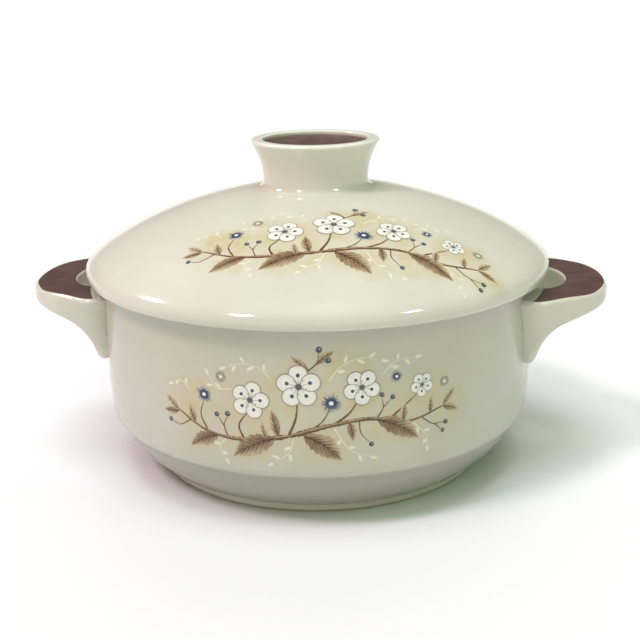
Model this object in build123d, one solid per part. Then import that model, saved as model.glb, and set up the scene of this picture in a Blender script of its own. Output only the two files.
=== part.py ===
"""Covered casserole dish in glazed pottery: a bowl with two loop handles, and a domed lid with a knob.

Millimetres. The origin is the centre of the foot ring's underside, +Z is up and +X runs through
the handles. Every round piece is turned about Z from an outline of (radius, height) points.
"""
import os
from math import asin, cos, sin

from build123d import *

# ---- bowl ---------------------------------------------------------------------------
WALL = 5.0                     # thickness of the bowl's wall at the rim
FOOT_RADIUS = 76.2             # outside of the foot ring
FOOT_WIDTH = 5.2               # foot ring, across its section
FOOT_ROUNDING = 1.2
RECESS_HEIGHT = 2.6            # hollow inside the foot ring
GROOVE = (75.9, 3.6)           # between the foot ring and the band
BAND_UNDERSIDE = (77.4, 3.6)   # each name ending in UNDERSIDE, BULGE or BEND is a curve's control point
BAND_BOTTOM = (79.4, 5.0)      # convex band between the groove and the ledge
BAND_BULGE = (91.0, 14.8)
BAND_TOP = (94.7, 23.6)
LEDGE = (94.9, 24.5)           # the ledge starts here
LEDGE_UNDERSIDE = (96.8, 25.2)
SHOULDER = (97.1, 28.4)        # the ledge's rounded edge ends here
SHOULDER_BEND = (97.8, 35.0)
WALL_FOOT = (98.0, 42.0)       # the upper wall starts here
RIM_RADIUS = 98.6              # outside of the bowl's rim
RIM_HEIGHT = 88.7
RIM_ROUNDING = 1.8
FLOOR_HEIGHT = 8.4             # inside floor of the bowl
FLOOR_RADIUS = 62.0
INSIDE_BENDS = ((92.6, 20.0), (84.0, 9.2))    # from the wall's foot down to the floor

# ---- lid ----------------------------------------------------------------------------
LID_RADIUS = 105.0
DOME_EDGE_RADIUS = 100.0       # the dome ends here, and the lid's edge rounds over to the lip
EDGE_BENDS = ((103.6, 95.6), (105.0, 94.0))
LID_WIDEST_HEIGHT = 91.6
LID_EDGE_HEIGHT = 88.1         # lowest point of the lip, just outside the bowl's rim
LIP_BENDS = ((105.0, 89.4), (104.2, 88.1))
LIP_OUTSIDE = 102.2            # the lip's flat edge, between these radii
LIP_INSIDE = 101.4
LIP_ROUNDING = 0.8
SEAT_GAP = 0.3                 # between the lid's seat and the bowl's rim
DOME_BASE = 93.6               # height where the dome's outline would reach the lid's radius
DOME_RISE = 33.6
DOME_POWERS = (1.87, 1.24)     # superellipse powers of the dome, across and up
INNER_DOME = (98.5, 28.4, 93.0)    # radius, rise and base height of the lid's underside
FLANGE_CLEARANCE = 1.4         # between the locating flange and the bowl's inside
FLANGE_THICKNESS = 4.4
FLANGE_BOTTOM = 80.5
FLANGE_ROUNDING = 1.0          # where the flange meets the seat
KNOB_BORE = 18.5               # opening under the hollow knob

# ---- knob ---------------------------------------------------------------------------
KNOB_FOOT_RADIUS = 26.2        # where the knob spreads onto the lid
KNOB_FOOT_BEND = 0.5           # height of that spread's bend above the lid
KNOB_WAIST_RADIUS = 23.7
KNOB_WAIST_HEIGHT = 129.0
KNOB_RIM_RADIUS = 28.5
KNOB_RIM_HEIGHT = 145.0
KNOB_RIM_BENDS = ((29.1, 146.0), (28.5, 146.7))
KNOB_RIM_FLAT = (27.0, 24.9)   # outer and inner radius of the rim's flat top
KNOB_RIM_INSIDE = 145.7        # the rim's inner edge is rounded down to here
KNOB_TOP = 146.7
KNOB_ROOF = 138.8              # top of the knob's hollow
KNOB_HOLLOW_ROUNDING = 3.0
KNOB_PANEL_RADIUS = 23.5       # brown glaze in the knob's top
KNOB_PANEL_FLOOR = 143.8
KNOB_PANEL_TOP = 144.9

# ---- handles ------------------------------------------------------------------------
HANDLE_TOP = 83.0
HANDLE_TIP = 131.2             # how far the handles reach from the axis
HANDLE_HALF_WIDTH = 32.6       # of the grip
HANDLE_SECTIONS = ((83.0, 45.2), (73.0, 39.0), (44.0, 34.0))    # height and half-width at the root
HANDLE_START = 84.0            # inside the bowl's wall, before the handle is cut to fit it
HANDLE_ROOT = 96.0             # widest place, level with the bowl's wall
ROOT_TUCKS = ((0.0, 6.0), (6.0, 2.2))    # out from the start, in from the side
HANDLE_FLARE = (106.0, 0.7)    # half way from the root's width to the grip's, and a slight bulge there
HANDLE_SIDES = ((115.0, 1.1), (121.6, -3.8))    # place, and how far the side is beyond the half-width
HANDLE_CORNERS = ((4.4, 10.4), (1.1, 19.9))    # tip corners: in from the tip, in from the side
HANDLE_TOE = (99.5, 51.5)      # lowest part of the bracket
TOE_BEND = (102.0, 51.5)
BRACKET_FOOT = (103.0, 55.0)
BRACKET_BEND = (105.8, 64.0)
BRACKET_TOP = (111.5, 68.6)
GRIP_BEND = (116.0, 72.4)
GRIP_UNDERSIDE = 75.8          # height of the grip's underside beyond its tip
UNDERSIDE_ROUNDING = 3.0       # edges under the handle and round the hole's lower end
TOP_ROUNDING = 2.0
FINGER_HOLE_CENTRE = 100.0
FINGER_HOLE_RADII = (12.8, 20.0)
HOLE_TOP_ROUNDING = 1.2
CUTTER_ALLOWANCE = 10.0        # how far cutters stand out past what they cut
LIP_WIDTH = 1.2                # white lip round the brown panel, all of it on the rounded edge
ROOT_LIP = 1.8                 # the white lip is this much wider at the root, where the side leans in below
HOLE_LIP = 0.6                 # white lip round the finger hole
PANEL_DEPTH = 1.0              # recess that the brown glaze fills
PANEL_SINK = 0.35              # the glaze stands this much below the handle's top
PANEL_INNER_RADIUS = 103.5     # the panel stops here, short of the bowl


def point(outline_point):
    """A (radius, height) pair as a place in the XZ plane."""
    radius, height = outline_point
    return Vector(radius, 0, height)


def line(start, end):
    return Line(point(start), point(end))


def curve(*controls):
    """A Bezier curve, from the first control point to the last."""
    return Bezier(*[point(control) for control in controls])


def turned(edges):
    """The solid turned about Z from a closed outline."""
    return revolve(Face(Wire(edges)), Axis.Z, 360)


def dome(radius, rise, base, first_radius, last_radius, steps=12):
    """(radius, height) points down a superellipse dome, evenly spaced in its angle."""
    across, up = DOME_POWERS
    start = asin((first_radius / radius) ** (across / 2))
    end = asin((last_radius / radius) ** (across / 2))
    points = []
    for step in range(steps + 1):
        angle = start + (end - start) * step / steps
        height = base + rise * max(cos(angle), 0) ** (2 / up)
        points.append((radius * sin(angle) ** (2 / across), height))
    return points


def dome_curve(points, end_tangent=None):
    tangents = [] if end_tangent is None else [point(points[1]) - point(points[0]), end_tangent]
    return Spline(*[point(p) for p in points], tangents=tangents)


# ---- bowl ---------------------------------------------------------------------------

def bowl_outside():
    """Outline of the bowl's outside, from the foot ring up to the rim's top."""
    foot_edge = FOOT_RADIUS - FOOT_ROUNDING
    return [
        curve((foot_edge, 0), (FOOT_RADIUS, 0), (FOOT_RADIUS, FOOT_ROUNDING)),
        line((FOOT_RADIUS, FOOT_ROUNDING), GROOVE),
        curve(GROOVE, BAND_UNDERSIDE, BAND_BOTTOM),
        curve(BAND_BOTTOM, BAND_BULGE, BAND_TOP),
        line(BAND_TOP, LEDGE),
        curve(LEDGE, LEDGE_UNDERSIDE, SHOULDER),
        curve(SHOULDER, SHOULDER_BEND, WALL_FOOT),
        line(WALL_FOOT, (RIM_RADIUS, RIM_HEIGHT - RIM_ROUNDING)),
        curve((RIM_RADIUS, RIM_HEIGHT - RIM_ROUNDING), (RIM_RADIUS, RIM_HEIGHT),
              (RIM_RADIUS - RIM_ROUNDING, RIM_HEIGHT)),
    ]


def make_bowl():
    inside = RIM_RADIUS - WALL
    foot_inside = FOOT_RADIUS - FOOT_WIDTH
    foot_edge = foot_inside + FOOT_ROUNDING
    rim_outer = (RIM_RADIUS - RIM_ROUNDING, RIM_HEIGHT)
    rim_inner = (inside + RIM_ROUNDING, RIM_HEIGHT)
    wall_top = (inside, RIM_HEIGHT - RIM_ROUNDING)
    wall_foot = (WALL_FOOT[0] - WALL, WALL_FOOT[1])
    inside_lines = [
        line(rim_outer, rim_inner),
        curve(rim_inner, (inside, RIM_HEIGHT), wall_top),
        line(wall_top, wall_foot),
        curve(wall_foot, *INSIDE_BENDS, (FLOOR_RADIUS, FLOOR_HEIGHT)),
        line((FLOOR_RADIUS, FLOOR_HEIGHT), (0, FLOOR_HEIGHT)),
        line((0, FLOOR_HEIGHT), (0, RECESS_HEIGHT)),
        line((0, RECESS_HEIGHT), (foot_inside - FOOT_ROUNDING, RECESS_HEIGHT)),
        curve((foot_inside - FOOT_ROUNDING, RECESS_HEIGHT), (foot_inside, RECESS_HEIGHT),
              (foot_inside, FOOT_ROUNDING)),
        curve((foot_inside, FOOT_ROUNDING), (foot_inside, 0), (foot_edge, 0)),
        line((foot_edge, 0), (FOOT_RADIUS - FOOT_ROUNDING, 0)),
    ]
    return turned(bowl_outside() + inside_lines)


def bowl_body():
    """The space that the bowl's outside encloses, which the handles are cut to fit."""
    top = (RIM_RADIUS - RIM_ROUNDING, RIM_HEIGHT)
    closing = [line(top, (0, RIM_HEIGHT)), line((0, RIM_HEIGHT), (0, 0)),
               line((0, 0), (FOOT_RADIUS - FOOT_ROUNDING, 0))]
    return turned(bowl_outside() + closing)


# ---- lid ----------------------------------------------------------------------------

def make_lid():
    seat_height = RIM_HEIGHT + SEAT_GAP
    outer = dome(LID_RADIUS, DOME_RISE, DOME_BASE, KNOB_FOOT_RADIUS, DOME_EDGE_RADIUS)
    widest = (LID_RADIUS, LID_WIDEST_HEIGHT)
    flange = RIM_RADIUS - WALL - FLANGE_CLEARANCE
    flange_inside = flange - FLANGE_THICKNESS
    inner = dome(*INNER_DOME, KNOB_BORE, flange_inside)
    tip = FLANGE_THICKNESS / 2
    middle = flange - tip
    lip_round = LIP_INSIDE - LIP_ROUNDING
    corner = FLANGE_ROUNDING
    edges = [
        dome_curve(outer, point(EDGE_BENDS[0]) - point(outer[-1])),
        curve(outer[-1], *EDGE_BENDS, widest),
        curve(widest, *LIP_BENDS, (LIP_OUTSIDE, LID_EDGE_HEIGHT)),
        line((LIP_OUTSIDE, LID_EDGE_HEIGHT), (LIP_INSIDE, LID_EDGE_HEIGHT)),
        curve((LIP_INSIDE, LID_EDGE_HEIGHT), (lip_round, LID_EDGE_HEIGHT), (lip_round, seat_height)),
        line((lip_round, seat_height), (flange + corner, seat_height)),
        curve((flange + corner, seat_height), (flange, seat_height), (flange, seat_height - corner)),
        line((flange, seat_height - corner), (flange, FLANGE_BOTTOM + tip)),
        curve((flange, FLANGE_BOTTOM + tip), (flange, FLANGE_BOTTOM), (middle, FLANGE_BOTTOM)),
        curve((middle, FLANGE_BOTTOM), (flange_inside, FLANGE_BOTTOM), (flange_inside, FLANGE_BOTTOM + tip)),
        line((flange_inside, FLANGE_BOTTOM + tip), inner[-1]),
        dome_curve(inner),
        line(inner[0], (KNOB_BORE, outer[0][1])),
        line((KNOB_BORE, outer[0][1]), outer[0]),
    ]
    return turned(edges)


# ---- knob ---------------------------------------------------------------------------

def make_knob():
    seat = dome(LID_RADIUS, DOME_RISE, DOME_BASE, KNOB_FOOT_RADIUS, DOME_EDGE_RADIUS)[0][1]
    waist = (KNOB_WAIST_RADIUS, KNOB_WAIST_HEIGHT)
    flare = (KNOB_RIM_RADIUS, KNOB_RIM_HEIGHT)
    flare_bend = (KNOB_WAIST_RADIUS, (KNOB_WAIST_HEIGHT + KNOB_RIM_HEIGHT) / 2)
    rim_outer, rim_inner = [(radius, KNOB_TOP) for radius in KNOB_RIM_FLAT]
    rim_inside = (KNOB_PANEL_RADIUS, KNOB_RIM_INSIDE)
    hollow_edge = (KNOB_BORE - KNOB_HOLLOW_ROUNDING, KNOB_ROOF)
    hollow_side = (KNOB_BORE, KNOB_ROOF - KNOB_HOLLOW_ROUNDING)
    edges = [
        curve((KNOB_FOOT_RADIUS, seat), (KNOB_WAIST_RADIUS, seat + KNOB_FOOT_BEND), waist),
        curve(waist, flare_bend, flare),
        curve(flare, *KNOB_RIM_BENDS, rim_outer),
        line(rim_outer, rim_inner),
        curve(rim_inner, (KNOB_PANEL_RADIUS, KNOB_TOP), rim_inside),
        line(rim_inside, (KNOB_PANEL_RADIUS, KNOB_PANEL_FLOOR)),
        line((KNOB_PANEL_RADIUS, KNOB_PANEL_FLOOR), (0, KNOB_PANEL_FLOOR)),
        line((0, KNOB_PANEL_FLOOR), (0, KNOB_ROOF)),
        line((0, KNOB_ROOF), hollow_edge),
        curve(hollow_edge, (KNOB_BORE, KNOB_ROOF), hollow_side),
        line(hollow_side, (KNOB_BORE, seat)),
        line((KNOB_BORE, seat), (KNOB_FOOT_RADIUS, seat)),
    ]
    return turned(edges)


def make_knob_glaze():
    thickness = KNOB_PANEL_TOP - KNOB_PANEL_FLOOR
    return Pos(0, 0, KNOB_PANEL_FLOOR + thickness / 2) * Cylinder(KNOB_PANEL_RADIUS, thickness)


# ---- handles ------------------------------------------------------------------------

def handle_plan(height, root_half_width, inset=0.0):
    """The right handle's outline seen from above, as a face at one height."""
    tip = HANDLE_TIP - inset
    half = HANDLE_HALF_WIDTH - inset
    root = root_half_width - inset
    upper = [(HANDLE_START + out, root - tuck) for out, tuck in ROOT_TUCKS]
    flare, bulge = HANDLE_FLARE
    upper += [(HANDLE_ROOT, root), (flare, (half + root) / 2 + bulge)]
    upper += [(x, half + beyond) for x, beyond in HANDLE_SIDES]
    upper += [(tip - from_tip, half - from_side) for from_tip, from_side in HANDLE_CORNERS]
    lower = [(x, -y) for x, y in reversed(upper)]
    outline = Spline(*[(x, y, height) for x, y in upper + [(tip, 0)] + lower])
    back = Line(outline @ 1, outline @ 0)
    return Face(Wire([outline, back]))


def handle_underside():
    """The space above the handles' underside, which sweeps down to a toe on the bowl's wall."""
    top = HANDLE_TOP + 1
    reach = HANDLE_TIP + 1
    inside = RIM_RADIUS - WALL
    return turned([
        line((inside, HANDLE_TOE[1]), HANDLE_TOE),
        curve(HANDLE_TOE, TOE_BEND, BRACKET_FOOT),
        curve(BRACKET_FOOT, BRACKET_BEND, BRACKET_TOP),
        curve(BRACKET_TOP, GRIP_BEND, (reach, GRIP_UNDERSIDE)),
        line((reach, GRIP_UNDERSIDE), (reach, top)),
        line((reach, top), (inside, top)),
        line((inside, top), (inside, HANDLE_TOE[1])),
    ])


def finger_hole(lip=0.0):
    """An upright elliptical cutter, tall enough to pass through a handle."""
    radii = [radius + lip for radius in FINGER_HOLE_RADII]
    start = HANDLE_TOE[1] - CUTTER_ALLOWANCE
    section = Plane((FINGER_HOLE_CENTRE, 0, start)) * Ellipse(*radii)
    return extrude(section, HANDLE_TOP + CUTTER_ALLOWANCE - start)


def panel_shape(floor, top):
    """The brown panel's space in the right handle, between two heights."""
    plan = handle_plan(floor, HANDLE_SECTIONS[0][1] - ROOT_LIP, LIP_WIDTH)
    strip_by_bowl = Pos(0, 0, floor) * Cylinder(PANEL_INNER_RADIUS, CUTTER_ALLOWANCE)
    return extrude(plan, top - floor, dir=(0, 0, 1)) - strip_by_bowl - finger_hole(HOLE_LIP)


def on_finger_hole(edge):
    """Whether an edge lies on the finger hole's wall, in front of the handle's hidden back."""
    across, along = FINGER_HOLE_RADII
    for step in (0.1, 0.5, 0.9):
        place = edge.position_at(step)
        if abs(((place.X - FINGER_HOLE_CENTRE) / across) ** 2 + (place.Y / along) ** 2 - 1) > 0.02:
            return False
    return edge.position_at(0.5).X > RIM_RADIUS - WALL


def make_right_handle():
    sections = [handle_plan(height, root) for height, root in HANDLE_SECTIONS]
    handle = loft(sections) & handle_underside()

    def is_top(edge):
        return edge.position_at(0.5).Z > HANDLE_TOP - 0.01

    lower_edges = [edge for edge in handle.edges() if not is_top(edge)
                   and edge.position_at(0.5).X > RIM_RADIUS - WALL and abs(edge.position_at(0.5).Y) > 1]
    handle = fillet(lower_edges, UNDERSIDE_ROUNDING)
    outer_edges = [edge for edge in handle.edges() if is_top(edge) and edge.position_at(0.5).X > RIM_RADIUS]
    handle = fillet(outer_edges, TOP_ROUNDING) - finger_hole()

    hole_edges = [edge for edge in handle.edges() if on_finger_hole(edge)]
    handle = fillet([edge for edge in hole_edges if not is_top(edge)], UNDERSIDE_ROUNDING)
    hole_top = [edge for edge in handle.edges() if on_finger_hole(edge) and is_top(edge)]
    handle = fillet(hole_top, HOLE_TOP_ROUNDING) - bowl_body()
    return handle - panel_shape(HANDLE_TOP - PANEL_DEPTH, HANDLE_TOP + 1)


def make_right_handle_glaze():
    return panel_shape(HANDLE_TOP - PANEL_DEPTH, HANDLE_TOP - PANEL_SINK)


right_handle = make_right_handle()
right_handle_glaze = make_right_handle_glaze()
parts = {
    "bowl": make_bowl(),
    "left_handle": mirror(right_handle, Plane.YZ),
    "right_handle": right_handle,
    "left_handle_glaze": mirror(right_handle_glaze, Plane.YZ),
    "right_handle_glaze": right_handle_glaze,
    "lid": make_lid(),
    "lid_knob": make_knob(),
    "knob_glaze": make_knob_glaze(),
}
os.makedirs("parts", exist_ok=True)
for name, shape in parts.items():
    export_step(shape, f"parts/{name}.step")
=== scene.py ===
"""Looks of the covered casserole dish: glazes, printed flower sprays, floor, light and camera.

The pottery's solids come from model.glb and keep their shapes. The print is made here, as thin
shells in each ink's colour. One spray is drawn in a plane, in millimetres, with u to the right
and v up, and is laid on the bowl's wall and on the lid, at the front and again at the back.
"""
import math
import random

import bmesh
import bpy
import numpy as np
from mathutils import Matrix, Vector


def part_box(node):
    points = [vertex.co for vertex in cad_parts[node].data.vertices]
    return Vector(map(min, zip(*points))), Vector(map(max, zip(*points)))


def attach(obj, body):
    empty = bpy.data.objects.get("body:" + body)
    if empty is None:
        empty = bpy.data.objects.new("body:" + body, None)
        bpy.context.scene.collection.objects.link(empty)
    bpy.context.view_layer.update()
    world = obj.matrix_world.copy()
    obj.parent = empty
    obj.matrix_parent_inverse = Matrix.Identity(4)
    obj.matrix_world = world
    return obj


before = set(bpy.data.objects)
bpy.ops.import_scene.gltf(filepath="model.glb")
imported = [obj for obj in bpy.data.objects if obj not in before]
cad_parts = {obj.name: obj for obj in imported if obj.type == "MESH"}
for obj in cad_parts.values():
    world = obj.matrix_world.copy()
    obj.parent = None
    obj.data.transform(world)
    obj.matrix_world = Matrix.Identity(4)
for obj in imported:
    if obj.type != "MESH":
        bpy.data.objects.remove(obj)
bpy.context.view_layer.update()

MM = 0.001
SEED = 7

# ---- camera and floor (metres and degrees) --------------------------------------------
LENS = 61.9                          # millimetres, on a sensor 36 mm wide
CAMERA_PLACE = (0.04313, -0.49298, 0.21396)
CAMERA_HEADING = 4.91
CAMERA_DOWN = 17.18
CAMERA_ROLL = -0.98
FLOOR_RADIUS = 60.0
FLOOR_COLOUR = (0.78, 0.785, 0.80)

# ---- sky: brightness, and heights given as the sine of the elevation ------------------
SKY_COLOUR = (1.0, 0.92, 0.84)
SKY_LEVEL = 0.21                     # overhead
SKY_EDGE = 0.45                      # low down
SKY_EDGE_HEIGHT = 0.20
HORIZON = 0.60                       # added where the sky meets the floor
HORIZON_HEIGHT = 0.07

# ---- lamps: name, place, power, colour, then spread in degrees or size in metres ------
LAMP_AIM = (0.0, 0.0, 0.06)
SOFT_LIGHTS = (
    ("top", (-0.05, -0.20, 1.2), 1.58, (0.84, 0.90, 1.0), 30),
    ("key", (-0.6, -0.5, 1.2), 1.48, (0.90, 0.69, 0.76), 12),
    ("front", (0.0, -0.8, 1.0), 0.74, (0.67, 0.83, 0.58), 30),
    ("back", (0.0, 0.9, 1.0), 0.93, (0.94, 0.91, 0.80), 50),
    ("right", (1.0, -0.3, 1.0), 0.37, (0.25, 0.80, 0.27), 30),
    ("left", (-1.2, -0.15, 0.5), 0.27, (0.74, 0.28, 0.25), 44),
)
GLINTS = (
    ("glint_left", (-0.62, -0.86, 0.95), 12.0, (1.0, 0.98, 0.95), 0.15),
    ("glint_side", (-1.1, 0.05, 0.9), 9.0, (1.0, 0.98, 0.95), 0.15),
    ("glint_right", (0.92, -0.72, 0.85), 8.0, (0.88, 1.0, 0.86), 0.13),
    ("softbox", (-0.2, -0.5, 1.5), 2.0, (1.0, 1.0, 0.98), 1.1),
)

# ---- where the spray lies -------------------------------------------------------------
WALL_HEIGHTS = (0.0285, 0.0865)      # the stretch of the bowl's wall that can hold print
INSIDE_SHARE = 0.97                  # the wall's inner face is within this share of the bowl's radius
DOME_RADII = (0.040, 0.100)          # the stretch of the lid that can hold print
CONE_SPREAD = 1.077                  # the lid's cone, laid flat, is this much longer than its radius
LID_SHIFT = 11.3                     # millimetres; the lid's spray is this far right of the bowl's
LID_GROUND = 91.5                    # the spray's foot on the lid, along the cone from its middle
SPRAY_GROUND = 32.0                  # the spray's foot on the bowl, above the table
SHELL_DEPTH = 0.06                   # millimetres; the print's shells go this far into the pottery
TURNS = (0.0, math.pi)               # front and back

# ---- the branch that carries the spray (u, v) -----------------------------------------
BRANCH = (
    (-52.0, 49.0), (-38.0, 42.5), (-22.0, 41.0), (-4.0, 43.5),
    (12.0, 48.0), (28.0, 50.0), (44.0, 47.0), (60.0, 50.5),
)
BRANCH_MIDDLE = 3
BARK_STROKES = 44

# ---- inks: name, dark colour, light colour and lift above the glaze (linear RGB, mm) ---
INKS = {
    "cream_ink": ((0.66, 0.64, 0.49), (0.77, 0.76, 0.62), 0.030),
    "twig_ink": ((0.130, 0.064, 0.027), (0.43, 0.32, 0.19), 0.040),
    "leaf_ink": ((0.190, 0.112, 0.058), (0.60, 0.50, 0.33), 0.055),
    "vein_ink": ((0.080, 0.038, 0.018), (0.20, 0.115, 0.060), 0.075),
    "outline_ink": ((0.17, 0.155, 0.13), (0.38, 0.35, 0.29), 0.090),
    "petal_ink": ((0.66, 0.65, 0.57), (0.83, 0.83, 0.77), 0.095),
    "slate_ink": ((0.045, 0.065, 0.085), (0.17, 0.20, 0.24), 0.120),
    "blue_ink": ((0.018, 0.035, 0.105), (0.15, 0.20, 0.32), 0.080),
}


class Ink:
    """Flat shapes of one colour in the spray's plane: vertices (u, v, lift, tone) and faces."""

    def __init__(self, lift):
        self.lift = lift
        self.vertices = []
        self.faces = []

    def strip(self, rows, raised=0.0):
        """Rows of (place, tone) pairs, all equally long, joined by faces."""
        start = len(self.vertices)
        width = len(rows[0])
        for row in rows:
            self.vertices += [(*place, self.lift + raised, tone) for place, tone in row]
        for row in range(len(rows) - 1):
            for column in range(width - 1):
                corner = start + row * width + column
                self.faces.append((corner, corner + 1, corner + width + 1, corner + width))

    def patch(self, centre, rim, tones=(0.0, 1.0), rings=2, raised=0.0):
        """A region round a centre, with its tones given at the centre and at the rim."""
        start = len(self.vertices)
        count = len(rim)
        self.vertices.append((*centre, self.lift + raised, tones[0]))
        for ring in range(1, rings + 1):
            part = ring / rings
            tone = tones[0] + (tones[1] - tones[0]) * part
            for place in rim:
                self.vertices.append((*centre.lerp(place, part), self.lift + raised, tone))
        for step in range(count):
            after = (step + 1) % count
            self.faces.append((start, start + 1 + step, start + 1 + after))
            for ring in range(rings - 1):
                inner = start + 1 + ring * count
                outer = inner + count
                self.faces.append((inner + step, outer + step, outer + after, inner + after))


# ---- drawing in the spray's plane -----------------------------------------------------

def facing(degrees):
    """A unit vector; 0 degrees is to the right and 90 is up."""
    return Vector((math.cos(math.radians(degrees)), math.sin(math.radians(degrees))))


def smooth_path(points, spacing=0.8):
    """Places about a spacing apart on the Catmull-Rom curve through the points."""
    knots = [Vector(point) for point in points]
    knots = [2 * knots[0] - knots[1]] + knots + [2 * knots[-1] - knots[-2]]
    path = []
    for before, start, end, after in zip(knots, knots[1:], knots[2:], knots[3:]):
        steps = max(2, round((end - start).length / spacing))
        for step in range(steps):
            t = step / steps
            path.append(0.5 * (2 * start + (end - before) * t
                               + (2 * before - 5 * start + 4 * end - after) * t * t
                               + (3 * start - before - 3 * end + after) * t * t * t))
    return path + [knots[-2]]


def stroke(ink, points, widths, tones=(0.0, 0.0), raised=0.0, wobble=0.12):
    """A brush line through the points. Its width and tone change evenly, and its ends narrow."""
    path = smooth_path(points)
    last = len(path) - 1
    rows = []
    for step, place in enumerate(path):
        part = step / last
        along = (path[min(step + 1, last)] - path[max(step - 1, 0)]).normalized()
        side = Vector((-along.y, along.x))
        ends = min(1.0, 0.35 + 2.2 * math.sqrt(part * (1 - part)))
        width = (widths[0] + (widths[1] - widths[0]) * part) * ends
        width *= random.uniform(1 - wobble, 1 + wobble)
        tone = tones[0] + (tones[1] - tones[0]) * part
        rows.append([(place - side * width / 2, tone), (place + side * width / 2, tone)])
    ink.strip(rows, raised)


def dot(ink, centre, radius, tones=(0.0, 0.0), raised=0.0, uneven=0.06):
    """A small round spot, not quite a true circle."""
    rim = []
    for step in range(16):
        reach = radius * random.uniform(1 - uneven, 1 + uneven)
        rim.append(Vector(centre) + facing(step * 22.5) * reach)
    ink.patch(Vector(centre), rim, tones, rings=2, raised=raised)


def blade_half_width(part, fullness):
    """A blade's half-width as a share of its greatest; part is 0 at its base and 1 at its tip."""
    return max(0.02, math.sin(math.pi * part ** fullness) ** 0.9)


def leaf(inks, base, tip, width, bend=0.0, teeth=0, veins=5, pale=0.0):
    """A leaf with a midrib, side veins and, if it has teeth, a toothed edge."""
    base = Vector(base)
    axis = Vector(tip) - base
    side = Vector((-axis.y, axis.x)).normalized()
    fullness = 0.85
    steps = 36 if teeth else 14

    def place(part, across):
        reach = width / 2 * blade_half_width(part, fullness)
        if teeth and abs(across) > 0.9:
            reach *= 0.86 + 0.24 * ((part * teeth) % 1.0)
        lean = axis * 0.05 * abs(across) * math.sin(math.pi * part)
        return base + axis * part + lean + side * (reach * across + bend * 4 * part * (1 - part))

    rows = []
    for step in range(steps + 1):
        part = step / steps
        row = []
        for across in (-1.0, -0.5, 0.0, 0.5, 1.0):
            near_side = 0.22 if across > 0 else 0.0
            tone = 0.12 + 0.65 * part * abs(across) + near_side + pale
            row.append((place(part, across), min(1.0, tone)))
        rows.append(row)
    inks["leaf_ink"].strip(rows)
    midrib = [place(part, 0.0) for part in (0.0, 0.3, 0.6, 0.92)]
    stroke(inks["vein_ink"], midrib, (0.16 * width ** 0.7, 0.16), (0.0, 0.5), wobble=0.05)
    for vein in range(veins):
        start = 0.10 + 0.68 * vein / veins
        for way in (-1, 1):
            line = [place(start, 0.0)]
            line += [place(start + 0.12, 0.42 * way), place(start + 0.20, 0.82 * way)]
            stroke(inks["vein_ink"], line, (0.10 * width ** 0.7, 0.14), (0.1, 0.8), wobble=0.0)


PETALS = 5
PETAL_TURN = 360 / PETALS


def petal_rim(centre, outward, radius, grow=0.0):
    """Outline of one rounded petal, which widens away from the flower's centre."""
    side = Vector((-outward.y, outward.x))
    rim = []
    for step in range(24):
        angle = math.tau * step / 24
        reach = 0.56 * radius + (0.44 * radius + grow) * math.cos(angle)
        spread = (0.40 * radius + grow) * math.sin(angle) * (1 + 0.13 * math.cos(angle))
        rim.append(centre + outward * reach + side * spread)
    return rim


def blossom(inks, centre, radius, turn, order=0):
    """A five-petalled white blossom with slate anthers. A higher order lies over a lower one."""
    centre = Vector(centre)
    raised = 0.05 * order
    for petal in range(PETALS):
        outward = facing(turn + petal * PETAL_TURN)
        middle = centre + outward * 0.56 * radius
        layer = raised + 0.010 * petal
        outline = petal_rim(centre, outward, radius, 0.045 * radius)
        inks["outline_ink"].patch(middle, outline, (0.5, 0.5), rings=3, raised=layer)
        rim = petal_rim(centre, outward, radius)
        inks["petal_ink"].patch(middle, rim, (0.9, 0.5), rings=4, raised=layer)
    top = raised + 0.055
    for petal in range(PETALS):
        outward = facing(turn + petal * PETAL_TURN)
        between = facing(turn + (petal + 0.5) * PETAL_TURN)
        stalk = [centre, centre + outward * 0.50 * radius]
        stroke(inks["outline_ink"], stalk, (0.28, 0.16), (0.4, 0.8), top)
        dot(inks["slate_ink"], centre + outward * 0.55 * radius, 0.095 * radius, (0.0, 0.5), top)
        short_stalk = [centre, centre + between * 0.30 * radius]
        stroke(inks["outline_ink"], short_stalk, (0.22, 0.12), (0.6, 1.0), top)
        dot(inks["leaf_ink"], centre + between * 0.36 * radius, 0.045 * radius, (0.6, 0.8), top + 0.05)
    dot(inks["outline_ink"], centre, 0.17 * radius, (0.0, 0.6), top + 0.01)
    dot(inks["slate_ink"], centre, 0.13 * radius, (0.6, 0.1), top + 0.01)


def star_flower(inks, centre, radius, spikes=22):
    """A blue flower with many thin pointed petals round a white eye."""
    centre = Vector(centre)
    for spike in range(spikes):
        outward = facing(spike * 360 / spikes + random.uniform(-4, 4))
        reach = radius * random.uniform(0.80, 1.05)
        line = [centre + outward * 0.3 * radius, centre + outward * reach]
        widths = (0.13 * radius, 0.03 * radius)
        stroke(inks["blue_ink"], line, widths, (0.0, 0.9), raised=0.01 * (spike % 3))
    dot(inks["blue_ink"], centre, 0.52 * radius, (0.1, 0.35), raised=0.035)
    for bead in range(9):
        spot = centre + facing(bead * 40 + 12) * 0.46 * radius
        dot(inks["slate_ink"], spot, 0.07 * radius, (0.0, 0.0))
    dot(inks["petal_ink"], centre, 0.21 * radius, (1.0, 0.7), raised=0.03)


def dotted_flower(inks, centre, radius, colour):
    """A small flower made of rings of spots round a white eye."""
    centre = Vector(centre)
    for ring, count in ((0.55, 9), (0.85, 13)):
        for bead in range(count):
            spot = centre + facing(bead * 360 / count + ring * 50) * ring * radius
            dot(inks[colour], spot, 0.13 * radius, (0.1, 0.5), uneven=0.2)
    dot(inks["petal_ink"], centre, 0.24 * radius, (1.0, 0.8))


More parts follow.
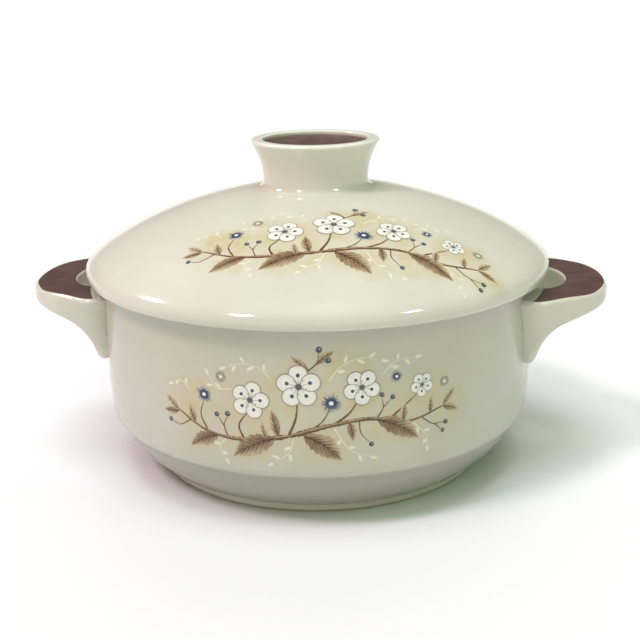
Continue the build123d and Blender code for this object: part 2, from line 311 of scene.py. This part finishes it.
def berry(inks, centre, radius):
    """A slate berry with a small pale glint."""
    centre = Vector(centre)
    dot(inks["slate_ink"], centre, radius, (0.55, 0.0))
    glint = centre + Vector((0.25, 0.25)) * radius
    dot(inks["outline_ink"], glint, 0.28 * radius, (0.9, 1.0), raised=0.04)


def cream_spray(inks, points, leaves, size=3.4):
    """A pale stem with small oval leaves in turn on its two sides and one at its end."""
    stroke(inks["cream_ink"], points, (0.42, 0.30), (0.8, 0.4), wobble=0.04)
    path = smooth_path(points)
    for count in range(leaves + 1):
        step = round((count + 1) / (leaves + 1) * (len(path) - 1))
        along = (path[step] - path[step - 1]).normalized()
        lean = 0.0 if count == leaves else (48.0 if count % 2 else -48.0)
        heading = math.degrees(math.atan2(along.y, along.x)) + lean
        base = path[step] + facing(heading) * 0.5
        small_leaf(inks["cream_ink"], base, heading, size * random.uniform(0.85, 1.1))


def small_leaf(ink, base, heading, length):
    """A plain oval leaf, a little under half as wide as it is long."""
    outward = facing(heading)
    side = Vector((-outward.y, outward.x))
    rim = []
    for step in range(14):
        angle = math.tau * step / 14
        spread = 0.22 * length * math.sin(angle) * (1 + 0.2 * math.cos(angle))
        rim.append(base + outward * length * (0.5 - 0.5 * math.cos(angle)) + side * spread)
    ink.patch(base + outward * length / 2, rim, (1.0, 0.2), rings=2, raised=0.008)


def branch(inks):
    """One long wavy branch, thickest in the middle, with paler bark and short dark strokes on it."""
    twig = inks["twig_ink"]
    for half in (BRANCH[BRANCH_MIDDLE::-1], BRANCH[BRANCH_MIDDLE:]):
        stroke(twig, half, (2.3, 0.6), (0.0, 0.2), wobble=0.22)
        upper = [(u, v + 0.35) for u, v in half]
        stroke(twig, upper, (0.9, 0.2), (0.75, 0.6), raised=0.01, wobble=0.25)
    path = smooth_path(BRANCH)
    for count in range(BARK_STROKES):
        part = 0.16 + 0.68 * count / (BARK_STROKES - 1)
        place = path[round(part * (len(path) - 1))]
        place = place + Vector((0.0, random.uniform(-0.9, 0.5)))
        heading = random.choice((20, 160)) + random.uniform(-12, 12)
        end = place + facing(heading) * random.uniform(1.0, 2.2)
        stroke(twig, [place, end], (0.50, 0.16), (0.0, 0.2), raised=0.03)


def twigs(inks):
    """The thin twigs that carry the flowers and berries."""
    for points, width in (
        (((-22.0, 41.0), (-24.0, 47.0), (-20.0, 53.0)), 1.0),
        (((-4.0, 43.5), (-1.0, 51.0), (0.0, 59.0)), 1.2),
        (((14.0, 48.5), (20.0, 53.0), (24.0, 59.0)), 1.0),
        (((36.0, 49.0), (42.0, 53.5), (48.0, 58.0)), 0.9),
        (((-38.0, 42.5), (-41.0, 49.0), (-39.5, 55.0)), 0.8),
        (((4.0, 45.5), (9.5, 50.0), (12.5, 55.0)), 0.8),
        (((3.0, 70.0), (7.5, 74.0), (8.5, 78.5)), 0.7), (((6.8, 73.2), (11.0, 75.0)), 0.5),
        (((-29.0, 41.2), (-30.5, 46.0), (-29.0, 50.0)), 0.6), (((-30.4, 45.5), (-33.0, 49.5)), 0.5),
        (((31.0, 50.0), (33.5, 54.0), (33.0, 58.5)), 0.6), (((33.4, 54.0), (36.8, 57.5)), 0.5),
        (((50.0, 47.8), (55.0, 44.0), (60.5, 43.5)), 0.6), (((56.0, 43.8), (59.5, 40.5)), 0.5),
        (((-46.0, 46.0), (-52.0, 42.5), (-56.0, 43.5)), 0.6),
        (((24.0, 50.0), (24.5, 44.5), (28.0, 40.0)), 0.6),
    ):
        stroke(inks["twig_ink"], points, (width, 0.4 * width), (0.0, 0.3))


def leaves(inks):
    """Large toothed leaves below the branch, and small plain ones along it."""
    leaf(inks, (-9.0, 42.5), (-27.0, 33.0), 8.8, bend=-1.2, teeth=7, veins=6)
    leaf(inks, (2.0, 44.0), (17.0, 33.0), 9.0, bend=1.3, teeth=7, veins=6)
    leaf(inks, (31.0, 49.5), (49.0, 39.0), 8.2, bend=1.2, teeth=6, veins=6)
    leaf(inks, (-33.0, 41.5), (-47.0, 34.5), 6.4, bend=-0.8, teeth=6, veins=5)
    for base, tip, width, pale in (
        ((-8.0, 43.5), (-10.5, 54.5), 4.4, 0.1), ((42.0, 47.5), (43.0, 55.0), 3.4, 0.25),
        ((-44.0, 45.0), (-46.5, 53.0), 3.6, 0.2), ((-52.0, 49.0), (-59.0, 54.5), 3.4, 0.35),
        ((-52.0, 48.5), (-60.5, 47.5), 3.2, 0.1), ((60.0, 50.5), (68.0, 47.5), 3.4, 0.15),
        ((60.0, 51.0), (66.0, 57.5), 3.4, 0.3), ((54.0, 49.0), (54.5, 56.0), 3.0, 0.3),
        ((20.0, 49.5), (21.5, 41.0), 3.6, 0.1), ((4.5, 71.5), (-2.5, 77.0), 3.2, 0.3),
        ((-13.0, 42.0), (-14.5, 49.5), 3.0, 0.35), ((7.0, 73.5), (14.5, 79.0), 3.0, 0.2),
    ):
        leaf(inks, base, tip, width, bend=0.3, veins=3, pale=pale)


def flowers(inks):
    """White blossoms in a row over the branch, with blue flowers and berries between them."""
    blossom(inks, (-19.0, 58.0), 7.6, 74.0)
    blossom(inks, (0.5, 64.5), 8.6, 92.0, order=1)
    blossom(inks, (25.0, 63.5), 7.2, 128.0, order=2)
    blossom(inks, (50.0, 61.5), 5.0, 52.0)
    star_flower(inks, (13.0, 57.5), 4.2)
    star_flower(inks, (-39.0, 58.0), 3.8, spikes=18)
    star_flower(inks, (39.0, 66.5), 2.8, spikes=16)
    dotted_flower(inks, (-31.0, 66.5), 2.3, "outline_ink")
    dotted_flower(inks, (60.5, 61.0), 2.2, "outline_ink")
    for centre, radius in (
        ((8.6, 79.6), 1.25), ((12.0, 75.2), 1.15), ((-28.8, 51.2), 1.1), ((-33.6, 50.4), 1.0),
        ((33.0, 59.6), 1.0), ((37.5, 58.2), 1.0), ((61.6, 43.4), 1.0), ((60.3, 39.9), 0.9),
        ((-57.0, 43.8), 1.0), ((28.8, 39.2), 1.0),
    ):
        berry(inks, centre, radius)


def pale_sprays(inks):
    """The light leaf sprays that fill in between the darker ones."""
    for points, count in (
        ([(-10.0, 67.0), (-15.0, 71.5), (-22.0, 73.0), (-28.0, 71.0)], 4),
        ([(12.0, 66.5), (17.0, 72.5), (24.5, 75.5), (32.0, 74.0)], 4),
        ([(33.0, 68.0), (39.0, 73.0), (46.0, 73.5)], 3),
        ([(-26.5, 62.0), (-33.0, 61.5), (-36.0, 66.0)], 2),
        ([(-45.0, 58.0), (-50.0, 62.0), (-54.0, 60.5)], 2),
        ([(46.0, 46.5), (52.0, 40.0), (53.0, 35.5)], 3),
        ([(14.0, 47.0), (20.0, 37.5), (28.0, 34.0)], 3),
        ([(-2.0, 42.5), (-4.0, 36.5), (-10.0, 32.0)], 3),
        ([(-30.0, 40.5), (-33.0, 36.0), (-31.0, 32.0)], 2),
    ):
        cream_spray(inks, points, count)


def draw_spray():
    """All of the spray's inks, by name."""
    random.seed(SEED)
    inks = {name: Ink(lift) for name, (_, _, lift) in INKS.items()}
    pale_sprays(inks)
    branch(inks)
    twigs(inks)
    leaves(inks)
    flowers(inks)
    return inks


# ---- laying the spray on the pottery --------------------------------------------------

def outline_places(node, keep):
    """(radius, height) of a turned node's vertices that a test on vertex and radius keeps."""
    places = [(math.hypot(v.co.x, v.co.y), v.co.z, v.normal) for v in node.data.vertices]
    kept = [(radius, height) for radius, height, normal in places if keep(radius, height, normal)]
    return np.array(kept)


def wall_surface():
    """Maps the spray's plane to the bowl's wall, with u round the wall and v up it."""
    low, high = WALL_HEIGHTS
    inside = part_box("bowl")[1][0] * INSIDE_SHARE
    places = outline_places(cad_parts["bowl"], lambda r, z, n: r > inside and low - MM < z < high)
    radius_at = np.polynomial.Polynomial.fit(places[:, 1], places[:, 0], 4)
    round_radius = float(radius_at((low + high) / 2))

    def place(u, v, lift, turn):
        radius = float(radius_at(v * MM)) + lift * MM
        angle = u * MM / round_radius + turn
        return Vector((radius * math.sin(angle), -radius * math.cos(angle), v * MM))

    return place


def lid_surface():
    """Maps the spray's plane to the lid, as a flat transfer laid on a cone."""
    low, high = DOME_RADII
    places = outline_places(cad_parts["lid"], lambda r, z, n: low < r < high and n.z > 0.2)
    height_at = np.polynomial.Polynomial.fit(places[:, 0], places[:, 1], 6)
    slope_at = height_at.deriv()

    def place(u, v, lift, turn):
        across = u + LID_SHIFT
        down = LID_GROUND - (v - SPRAY_GROUND)
        radius = math.hypot(across, down) / CONE_SPREAD * MM
        angle = math.atan2(across, down) * CONE_SPREAD + turn
        slope = float(slope_at(radius))
        length = math.hypot(1.0, slope)
        height = float(height_at(radius)) + lift * MM / length
        radius -= lift * MM * slope / length
        return Vector((radius * math.sin(angle), -radius * math.cos(angle), height))

    return place


def add_shell(bm, ink, place, turn, tone_layer):
    """One copy of an ink's shapes as closed thin shells, with its edges marked sharp."""
    tops = [bm.verts.new(place(u, v, lift, turn)) for u, v, lift, _ in ink.vertices]
    bottoms = [bm.verts.new(place(u, v, -SHELL_DEPTH, turn)) for u, v, _, _ in ink.vertices]
    for vertex, (_, _, _, tone) in zip(tops + bottoms, ink.vertices + ink.vertices):
        vertex[tone_layer] = tone
    uses = {}
    for face in ink.faces:
        bm.faces.new([tops[corner] for corner in face]).smooth = True
        bm.faces.new([bottoms[corner] for corner in reversed(face)]).smooth = True
        for start, end in zip(face, face[1:] + face[:1]):
            uses.setdefault((min(start, end), max(start, end)), []).append((start, end))
    for ways in uses.values():
        if len(ways) == 1:
            start, end = ways[0]
            bm.faces.new((tops[end], tops[start], bottoms[start], bottoms[end]))


def make_print(name, ink, place, body, material):
    """One piece: an ink's shapes on the bowl or the lid, front and back."""
    bm = bmesh.new()
    tone_layer = bm.verts.layers.float.new("tone")
    for turn in TURNS:
        add_shell(bm, ink, place, turn, tone_layer)
    bmesh.ops.recalc_face_normals(bm, faces=bm.faces)
    for edge in bm.edges:
        edge.smooth = all(face.smooth for face in edge.link_faces)
    mesh = bpy.data.meshes.new(name)
    bm.to_mesh(mesh)
    bm.free()
    mesh.materials.append(material)
    piece = bpy.data.objects.new(name, mesh)
    bpy.context.scene.collection.objects.link(piece)
    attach(piece, body)


# ---- materials ------------------------------------------------------------------------

class Shader:
    """Short calls for building one material's nodes."""

    def __init__(self, name):
        self.material = bpy.data.materials.new(name)
        self.material.use_nodes = True
        self.tree = self.material.node_tree
        self.surface = self.tree.nodes["Principled BSDF"]

    def node(self, kind, inputs=(), **settings):
        """A new node; inputs are (socket, value or output socket) pairs."""
        node = self.tree.nodes.new(kind)
        for name, value in settings.items():
            setattr(node, name, value)
        for socket, value in inputs:
            self.set(node.inputs[socket], value)
        return node

    def set(self, socket, value):
        if isinstance(value, bpy.types.NodeSocket):
            self.tree.links.new(value, socket)
        else:
            socket.default_value = value

    def math(self, operation, *values):
        return self.node("ShaderNodeMath", list(enumerate(values)), operation=operation).outputs[0]

    def length(self, x, y):
        squares = self.math("ADD", self.math("MULTIPLY", x, x), self.math("MULTIPLY", y, y))
        return self.math("SQRT", squares)

    def noise(self, vector, scale, detail=3.0):
        inputs = [("Vector", vector), ("Scale", scale), ("Detail", detail)]
        return self.node("ShaderNodeTexNoise", inputs).outputs["Fac"]

    def ramp(self, value, low, high, to_low=0.0, to_high=1.0):
        inputs = [("Value", value), (1, low), (2, high), (3, to_low), (4, to_high)]
        return self.node("ShaderNodeMapRange", inputs, interpolation_type="SMOOTHSTEP").outputs[0]

    def mix(self, share, first, second):
        node = self.node("ShaderNodeMix", data_type="RGBA")
        self.set(node.inputs["Factor"], share)
        for socket, colour in ((node.inputs[6], first), (node.inputs[7], second)):
            self.set(socket, colour if isinstance(colour, bpy.types.NodeSocket) else (*colour, 1.0))
        return node.outputs[2]

    def position(self):
        return self.node("ShaderNodeTexCoord").outputs["Object"]

    def split(self, vector):
        return self.node("ShaderNodeSeparateXYZ", [(0, vector)]).outputs

    def bump(self, height, strength, distance):
        inputs = [("Strength", strength), ("Distance", distance), ("Height", height)]
        self.set(self.surface.inputs["Normal"], self.node("ShaderNodeBump", inputs).outputs[0])


# soft tan wash behind the spray: (u, v, reach along u, reach along v, strength)
WASHES = (
    (-20, 57, 23, 17, 0.9), (0, 62, 22, 19, 0.9), (25, 61, 22, 17, 0.9), (49, 58, 20, 13, 0.9),
    (-42, 53, 20, 15, 1.0), (-16, 40, 20, 11, 0.9), (11, 41, 20, 12, 0.9), (38, 46, 20, 13, 0.9),
    (62, 50, 13, 12, 0.8), (14, 74, 20, 9, 0.8), (-40, 39, 14, 9, 0.7),
)


def spray_wash(shader, u, v, vector):
    """How strongly the wash shows, from 0 to 1, at a place in the spray's plane."""
    ragged = shader.math("MULTIPLY", shader.math("SUBTRACT", shader.noise(vector, 90.0), 0.5), 0.9)
    total = 0.0
    for centre_u, centre_v, reach_u, reach_v, strength in WASHES:
        across = shader.math("DIVIDE", shader.math("SUBTRACT", u, float(centre_u)), float(reach_u))
        up = shader.math("DIVIDE", shader.math("SUBTRACT", v, float(centre_v)), float(reach_v))
        distance = shader.math("ADD", shader.length(across, up), ragged)
        total = shader.math("MAXIMUM", total, shader.ramp(distance, 0.30, 1.10, strength, 0.0))
    mottle = shader.ramp(shader.noise(vector, 130.0, 2.0), 0.36, 0.64, 0.45, 1.0)
    return shader.math("MULTIPLY", total, mottle)


def front_angle(shader, x, y):
    """Angle round the dish from the middle of the nearer spray."""
    half = shader.math("SIGN", shader.math("MULTIPLY", y, -1.0))
    return shader.math("ARCTAN2", shader.math("MULTIPLY", x, half), shader.math("ABSOLUTE", y))


def wall_plane(shader, place):
    """The spray's plane at a place on the bowl, in mm, and 1 on the wall's outside or 0 inside."""
    x, y, z = place
    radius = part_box("bowl")[1][0] / MM
    u = shader.math("MULTIPLY", front_angle(shader, x, y), radius)
    outside = shader.ramp(shader.length(x, y), WALL_INSIDE, WALL_INSIDE + MM)
    return u, shader.math("DIVIDE", z, MM), outside


def lid_plane(shader, place):
    """The spray's plane at a place on the lid, in mm, and 1 on its top or 0 underneath."""
    x, y, _ = place
    length = shader.math("MULTIPLY", shader.length(x, y), CONE_SPREAD / MM)
    angle = shader.math("DIVIDE", front_angle(shader, x, y), CONE_SPREAD)
    across = shader.math("MULTIPLY", length, shader.math("SINE", angle))
    down = shader.math("MULTIPLY", length, shader.math("COSINE", angle))
    u = shader.math("SUBTRACT", across, LID_SHIFT)
    v = shader.math("SUBTRACT", LID_GROUND + SPRAY_GROUND, down)
    normal = shader.split(shader.node("ShaderNodeNewGeometry").outputs["Normal"])
    return u, v, shader.ramp(normal[2], 0.0, 0.2)


# thicker and thinner glaze in each pair; all one glaze, with the bowl's made darker as painted shade
# and the handles', lid's and knob's paler as painted light
CREAMS = {
    "bowl": ((0.525, 0.51, 0.43), (0.56, 0.545, 0.465)),
    "handle": ((0.63, 0.61, 0.52), (0.67, 0.65, 0.565)),
    "lid": ((0.63, 0.61, 0.52), (0.67, 0.65, 0.565)),
    "knob": ((0.69, 0.67, 0.57), (0.73, 0.71, 0.61)),
}
# the knob's top rim: paler for thin glaze on the edge, and painted light
CREAM_RIM_THIN_AND_LIT = (0.80, 0.79, 0.71)
# painted shade: the band under the ledge faces down and is made darker
BAND_PAINTED_SHADE = (0.375, 0.36, 0.305)
WASH = (0.56, 0.48, 0.25)
WASH_SHARE = 0.80
BARE_CLAY = (0.55, 0.48, 0.37)
# pooled glaze, with painted shade in the ledge and the groove
POOLED_GLAZE_AND_SHADE = (0.48, 0.46, 0.365)
# painted light: the foot ring, shaded by the floor, is made paler
FOOT_PAINTED_LIGHT = (0.72, 0.71, 0.60)

WALL_INSIDE = 0.0955                 # between the bowl's inner and outer wall, as a radius
BAND_INSIDE = 0.070                  # the same under the wall, where the band is
BAND_TOP = (0.0235, 0.0255)          # heights over which the band's painted shade ends
LEDGE_HEIGHT = 0.0243
LEDGE_REACH = 0.0011                 # pooled glaze and painted shade show this far above and below the ledge
GROOVE_HEIGHT = 0.0038               # where the foot ring meets the band
GROOVE_REACH = 0.0015
# heights over which the foot ring's painted light fades out
FOOT_TOP = (0.0030, 0.0055)
BARE_TOP = (0.0006, 0.0012)
BARE_ROUGHNESS = 0.75

BROWNS = ((0.066, 0.031, 0.026), (0.100, 0.047, 0.039))
BROWN_FLECK = (0.16, 0.095, 0.075)


def near_height(shader, z, height, reach, strength):
    """A line round the dish: the strength at a height, fading to 0 at a reach from it."""
    distance = shader.math("ABSOLUTE", shader.math("SUBTRACT", z, height))
    return shader.ramp(distance, 0.0, reach, strength, 0.0)


def foot_glaze(shader, place, colour):
    """The bowl's colour: band in painted shade, foot ring in painted light, pooled glaze and painted
    shade at ledge and groove, bare clay; and the bare share.
    """
    x, y, z = place
    # painted shade: the band under the ledge is darker
    band = shader.ramp(z, *BAND_TOP, 1.0, 0.0)
    outside = shader.ramp(shader.length(x, y), BAND_INSIDE, BAND_INSIDE + MM)
    colour = shader.mix(shader.math("MULTIPLY", band, outside), colour, BAND_PAINTED_SHADE)
    # painted light: the foot ring is paler
    colour = shader.mix(shader.ramp(z, *FOOT_TOP, 1.0, 0.0), colour, FOOT_PAINTED_LIGHT)
    # pooled glaze and painted shade at the ledge and the groove
    ledge = near_height(shader, z, LEDGE_HEIGHT, LEDGE_REACH, 0.55)
    groove = near_height(shader, z, GROOVE_HEIGHT, GROOVE_REACH, 0.35)
    colour = shader.mix(shader.math("MAXIMUM", ledge, groove), colour, POOLED_GLAZE_AND_SHADE)
    bare = shader.ramp(z, *BARE_TOP, 1.0, 0.0)
    return shader.mix(bare, colour, BARE_CLAY), bare


def cream_glaze(name, creams, plane=None, foot=False, rim=None):
    """Glossy cream glaze, slightly uneven. A plane adds the wash behind the print.

    A rim is a pair of heights between which the glaze thins out and turns paler, with painted light
    there too.
    """
    shader = Shader(name)
    vector = shader.position()
    place = shader.split(vector)[:3]
    colour = shader.mix(shader.ramp(shader.noise(vector, 22.0), 0.35, 0.7), *creams)
    if plane:
        u, v, outside = plane(shader, place)
        share = shader.math("MULTIPLY", spray_wash(shader, u, v, vector), outside)
        colour = shader.mix(shader.math("MULTIPLY", share, WASH_SHARE), colour, WASH)
    if rim:
        # paler rim: thin glaze on the edge, and painted light
        colour = shader.mix(shader.ramp(place[2], *rim), colour, CREAM_RIM_THIN_AND_LIT)
    roughness = shader.ramp(shader.noise(vector, 60.0), 0.3, 0.7, 0.07, 0.13)
    if foot:
        colour, bare = foot_glaze(shader, place, colour)
        roughness = shader.math("MAXIMUM", roughness, shader.math("MULTIPLY", bare, BARE_ROUGHNESS))
    shader.set(shader.surface.inputs["Base Color"], colour)
    shader.set(shader.surface.inputs["Roughness"], roughness)
    shader.bump(shader.noise(vector, 45.0, 2.0), 0.25, 0.0004)
    return shader.material


def brown_glaze():
    """Dark brown glaze, redder where it is thin, with a soft sheen."""
    shader = Shader("brown_glaze")
    vector = shader.position()
    mottle = shader.ramp(shader.noise(vector, 70.0, 5.0), 0.35, 0.68)
    colour = shader.mix(mottle, *BROWNS)
    flecks = shader.ramp(shader.noise(vector, 900.0, 2.0), 0.66, 0.78)
    colour = shader.mix(shader.math("MULTIPLY", flecks, 0.5), colour, BROWN_FLECK)
    shader.set(shader.surface.inputs["Base Color"], colour)
    roughness = shader.ramp(shader.noise(vector, 160.0), 0.3, 0.7, 0.30, 0.42)
    shader.set(shader.surface.inputs["Roughness"], roughness)
    shader.bump(shader.noise(vector, 260.0, 4.0), 0.3, 0.0002)
    return shader.material


def ink_material(name, dark, light):
    """Printed ink under a clear glaze. Its tone varies in each shape and with a fine grain."""
    shader = Shader(name)
    vector = shader.position()
    tone = shader.node("ShaderNodeAttribute", attribute_name="tone").outputs["Fac"]
    grain = shader.math("SUBTRACT", shader.noise(vector, 1400.0, 3.0), 0.5)
    cloud = shader.math("SUBTRACT", shader.noise(vector, 260.0, 2.0), 0.5)
    tone = shader.math("ADD", tone, shader.math("MULTIPLY", grain, 0.35))
    tone = shader.math("ADD", tone, shader.math("MULTIPLY", cloud, 0.6))
    share = shader.ramp(tone, 0.0, 1.0)
    shader.set(shader.surface.inputs["Base Color"], shader.mix(share, dark, light))
    shader.surface.inputs["Roughness"].default_value = 0.16
    return shader.material


def dress_pottery():
    """Put a glaze on each CAD node."""
    brown = brown_glaze()
    handle = cream_glaze("cream_glaze", CREAMS["handle"])
    knob_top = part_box("lid_knob")[1][2]
    # the knob's top rim is paler: thin glaze and painted light
    knob_thin_lit_rim = (knob_top - 2.4 * MM, knob_top - 0.8 * MM)
    glazes = {
        "bowl": cream_glaze("bowl_glaze", CREAMS["bowl"], wall_plane, foot=True),
        "lid_knob": cream_glaze("knob_cream_glaze", CREAMS["knob"], rim=knob_thin_lit_rim),
        "lid": cream_glaze("lid_glaze", CREAMS["lid"], lid_plane),
    }
    for name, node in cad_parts.items():
        node.data.materials.clear()
        node.data.materials.append(glazes.get(name, brown if name.endswith("glaze") else handle))


def print_sprays():
    """Lay each ink on the bowl and on the lid."""
    inks = draw_spray()
    surfaces = {"dish": ("bowl", wall_surface()), "lid": ("lid", lid_surface())}
    for name, (dark, light, _) in INKS.items():
        material = ink_material(name, dark, light)
        for body, (pottery, place) in surfaces.items():
            make_print(f"{pottery}_{name}", inks[name], place, body, material)


# ---- studio ---------------------------------------------------------------------------

def make_camera():
    """In front of the dish and a little above it, looking down."""
    data = bpy.data.cameras.new("camera")
    data.lens = LENS
    data.sensor_width = 36.0
    data.clip_start = 0.01
    camera = bpy.data.objects.new("camera", data)
    heading = Matrix.Rotation(math.radians(CAMERA_HEADING), 4, "Z")
    tilt = Matrix.Rotation(math.radians(90.0 - CAMERA_DOWN), 4, "X")
    roll = Matrix.Rotation(math.radians(CAMERA_ROLL), 4, "Z")
    camera.matrix_world = Matrix.Translation(CAMERA_PLACE) @ heading @ tilt @ roll
    bpy.context.scene.collection.objects.link(camera)
    bpy.context.scene.camera = camera


def make_floor():
    """A wide pale disc, plain and matt."""
    bpy.ops.mesh.primitive_circle_add(vertices=96, radius=FLOOR_RADIUS, fill_type="NGON")
    floor = bpy.context.object
    floor.name = "floor"
    shader = Shader("floor")
    shader.surface.inputs["Base Color"].default_value = (*FLOOR_COLOUR, 1.0)
    shader.surface.inputs["Roughness"].default_value = 0.9
    shader.surface.inputs["Specular IOR Level"].default_value = 0.0
    floor.data.materials.append(shader.material)


def add_lamp(name, kind, place, power, colour, **settings):
    """A lamp at a place, turned to the middle of the dish, with any other settings it needs."""
    data = bpy.data.lights.new(name, kind)
    data.energy = power
    data.color = colour
    for setting, value in settings.items():
        setattr(data, setting, value)
    lamp = bpy.data.objects.new(name, data)
    lamp.location = place
    aim = Vector(LAMP_AIM) - Vector(place)
    lamp.rotation_euler = aim.to_track_quat("-Z", "Y").to_euler()
    bpy.context.scene.collection.objects.link(lamp)
    return lamp


def make_sky():
    """A dim sky, paler low down and palest at the horizon."""
    world = bpy.data.worlds.new("world")
    bpy.context.scene.world = world
    world.use_nodes = True
    tree = world.node_tree
    background = tree.nodes["Background"]
    background.inputs["Color"].default_value = (*SKY_COLOUR, 1.0)
    direction = tree.nodes.new("ShaderNodeTexCoord").outputs["Generated"]
    split = tree.nodes.new("ShaderNodeSeparateXYZ")
    tree.links.new(direction, split.inputs[0])
    total = tree.nodes.new("ShaderNodeMath")
    parts = ((SKY_EDGE_HEIGHT, SKY_EDGE, SKY_LEVEL), (HORIZON_HEIGHT, HORIZON, 0.0))
    for part, (height, at_edge, above) in enumerate(parts):
        level = tree.nodes.new("ShaderNodeMapRange")
        level.interpolation_type = "SMOOTHSTEP"
        tree.links.new(split.outputs["Z"], level.inputs["Value"])
        for socket, value in ((1, 0.0), (2, height), (3, at_edge), (4, above)):
            level.inputs[socket].default_value = value
        tree.links.new(level.outputs[0], total.inputs[part])
    tree.links.new(total.outputs[0], background.inputs["Strength"])


def light_studio():
    """Broad light, warmer from the left and greener from the right, and lamps that only give gloss."""
    bpy.context.scene.view_settings.view_transform = "Standard"
    for name, place, power, colour, spread in SOFT_LIGHTS:
        lamp = add_lamp(name, "SUN", place, power, colour, angle=math.radians(spread))
        lamp.visible_glossy = False
    for name, place, power, colour, size in GLINTS:
        lamp = add_lamp(name, "AREA", place, power, colour, size=size)
        lamp.visible_diffuse = False


make_camera()
make_floor()
make_sky()
light_studio()
dress_pottery()
print_sprays()
